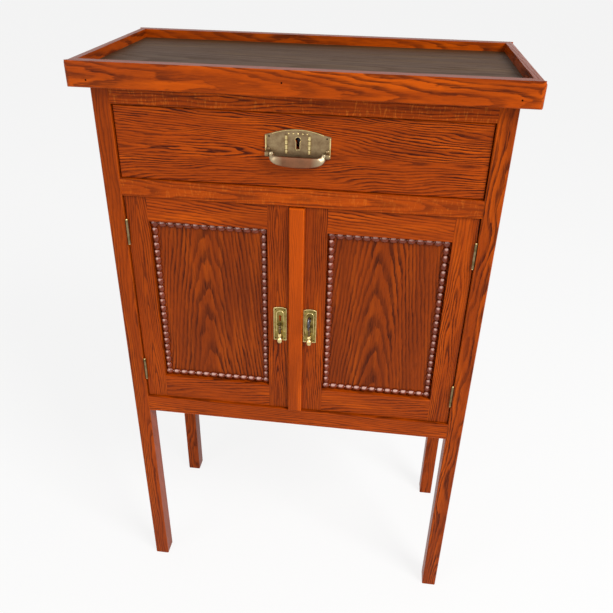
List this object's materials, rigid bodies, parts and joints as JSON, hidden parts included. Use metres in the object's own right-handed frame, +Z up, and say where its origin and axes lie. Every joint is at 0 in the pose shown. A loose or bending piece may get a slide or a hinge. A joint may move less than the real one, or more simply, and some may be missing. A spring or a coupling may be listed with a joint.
{
  "type": "hallway cabinet",
  "caption": "Tall narrow oak cabinet on straight square legs, with a tray top, a drawer with a bail pull and a cupboard with panelled doors, lock and key.",
  "frame": {"origin": "on the floor under the centre of the tray top", "axes": "+X to the right as seen from the front, +Y from the front to the back, +Z up"},
  "size_m": [0.64, 0.309, 1.007],
  "materials": {
    "oak": "stained oak under shellac, satin to glossy",
    "oak_panel": "stained oak veneer under shellac, glossy",
    "tray_oak": "worn dark oak, satin",
    "dark_beading": "dark stained bead moulding, glossy",
    "inside_wood": "plain waxed softwood",
    "plywood": "thin plywood, plain",
    "plate_brass": "pressed brass, patinated",
    "bail_copper": "copper-toned brass, worn bright",
    "hinge_brass": "aged brass",
    "lock_steel": "dark oiled steel"
  },
  "bodies": {
    "root": {"tray_board": "tray_oak", "front_lipping": "oak", "rear_lipping": "oak", "side_lippings": "oak", "front_right_leg": "oak", "front_left_leg": "oak", "rear_right_leg": "oak", "rear_left_leg": "oak", "top_rail": "oak", "middle_rail": "oak", "bottom_rail": "oak", "upper_side_rails": "oak", "lower_side_rails": "oak", "side_panels": "oak_panel", "back_rails": "oak", "back_panel": "plywood", "cupboard_floor": "inside_wood", "floor_cleats": "inside_wood", "cupboard_ceiling": "inside_wood", "shelf": "inside_wood", "shelf_battens": "inside_wood", "drawer_runners": "inside_wood", "drawer_kickers": "inside_wood", "drawer_stops": "inside_wood", "frame_hinge_leaves": "hinge_brass", "hinge_pins": "hinge_brass"},
    "drawer": {"drawer_front": "oak", "drawer_sides": "inside_wood", "drawer_back": "inside_wood", "drawer_bottom": "plywood", "drawer_lock_case": "lock_steel", "drawer_pull_plate": "plate_brass"},
    "drawer_bail": {"drawer_pull_bail": "bail_copper"},
    "drawer_bolt": {"drawer_lock_bolt": "lock_steel"},
    "left_door": {"left_door_hinge_stile": "oak", "left_door_meeting_stile": "oak", "left_door_rails": "oak", "left_door_panel": "oak_panel", "left_door_beading": "dark_beading", "left_door_hinge_leaves": "hinge_brass", "left_door_plate": "plate_brass", "lock_strike": "lock_steel", "slide_bolt_plate": "lock_steel"},
    "left_drop": {"left_door_drop_pull": "plate_brass"},
    "slide_bolt": {"slide_bolt_bar": "lock_steel"},
    "right_door": {"right_door_hinge_stile": "oak", "right_door_meeting_stile": "oak", "right_door_rails": "oak", "right_door_panel": "oak_panel", "right_door_beading": "dark_beading", "right_door_hinge_leaves": "hinge_brass", "right_door_plate": "plate_brass", "right_door_cover_strip": "oak", "door_lock_case": "lock_steel"},
    "right_drop": {"right_door_drop_pull": "plate_brass"},
    "key": {"door_key": "lock_steel"},
    "door_bolt": {"door_lock_bolt": "lock_steel"}
  },
  "joints": [
    {"name": "drawer_slide", "type": "slide", "parent": "root", "child": "drawer", "axis": [0, -1, 0], "range_m": [0, 0.2]},
    {"name": "bail_swing", "type": "hinge", "parent": "drawer", "child": "drawer_bail", "pos_m": [0, -0.135, 0.888], "axis": [-1, 0, 0], "range_deg": [0, 90]},
    {"name": "drawer_bolt_slide", "type": "slide", "parent": "drawer", "child": "drawer_bolt", "axis": [0, 0, 1], "range_m": [0, 0.007]},
    {"name": "left_door_swing", "type": "hinge", "parent": "root", "child": "left_door", "pos_m": [-0.26735, -0.1299, 0.6155], "axis": [0, 0, -1], "range_deg": [0, 160]},
    {"name": "left_drop_swing", "type": "hinge", "parent": "left_door", "child": "left_drop", "pos_m": [-0.026, -0.1339, 0.598], "axis": [-1, 0, 0], "range_deg": [0, 70]},
    {"name": "slide_bolt_slide", "type": "slide", "parent": "left_door", "child": "slide_bolt", "axis": [0, 0, 1], "range_m": [0, 0.006]},
    {"name": "right_door_swing", "type": "hinge", "parent": "root", "child": "right_door", "pos_m": [0.26735, -0.1299, 0.6155], "axis": [0, 0, 1], "range_deg": [0, 160]},
    {"name": "right_drop_swing", "type": "hinge", "parent": "right_door", "child": "right_drop", "pos_m": [0.023, -0.1339, 0.598], "axis": [-1, 0, 0], "range_deg": [0, 70]},
    {"name": "key_turn", "type": "hinge", "parent": "right_door", "child": "key", "pos_m": [0.023, -0.1387, 0.614], "axis": [0, -1, 0], "range_deg": [0, 360]},
    {"name": "door_bolt_slide", "type": "slide", "parent": "right_door", "child": "door_bolt", "axis": [-1, 0, 0], "range_m": [0, 0.007]}
  ],
  "couplings": [
    {"joint": "door_bolt_slide", "follows": "key_turn", "m_per_rad": 0.001114}
  ]
}
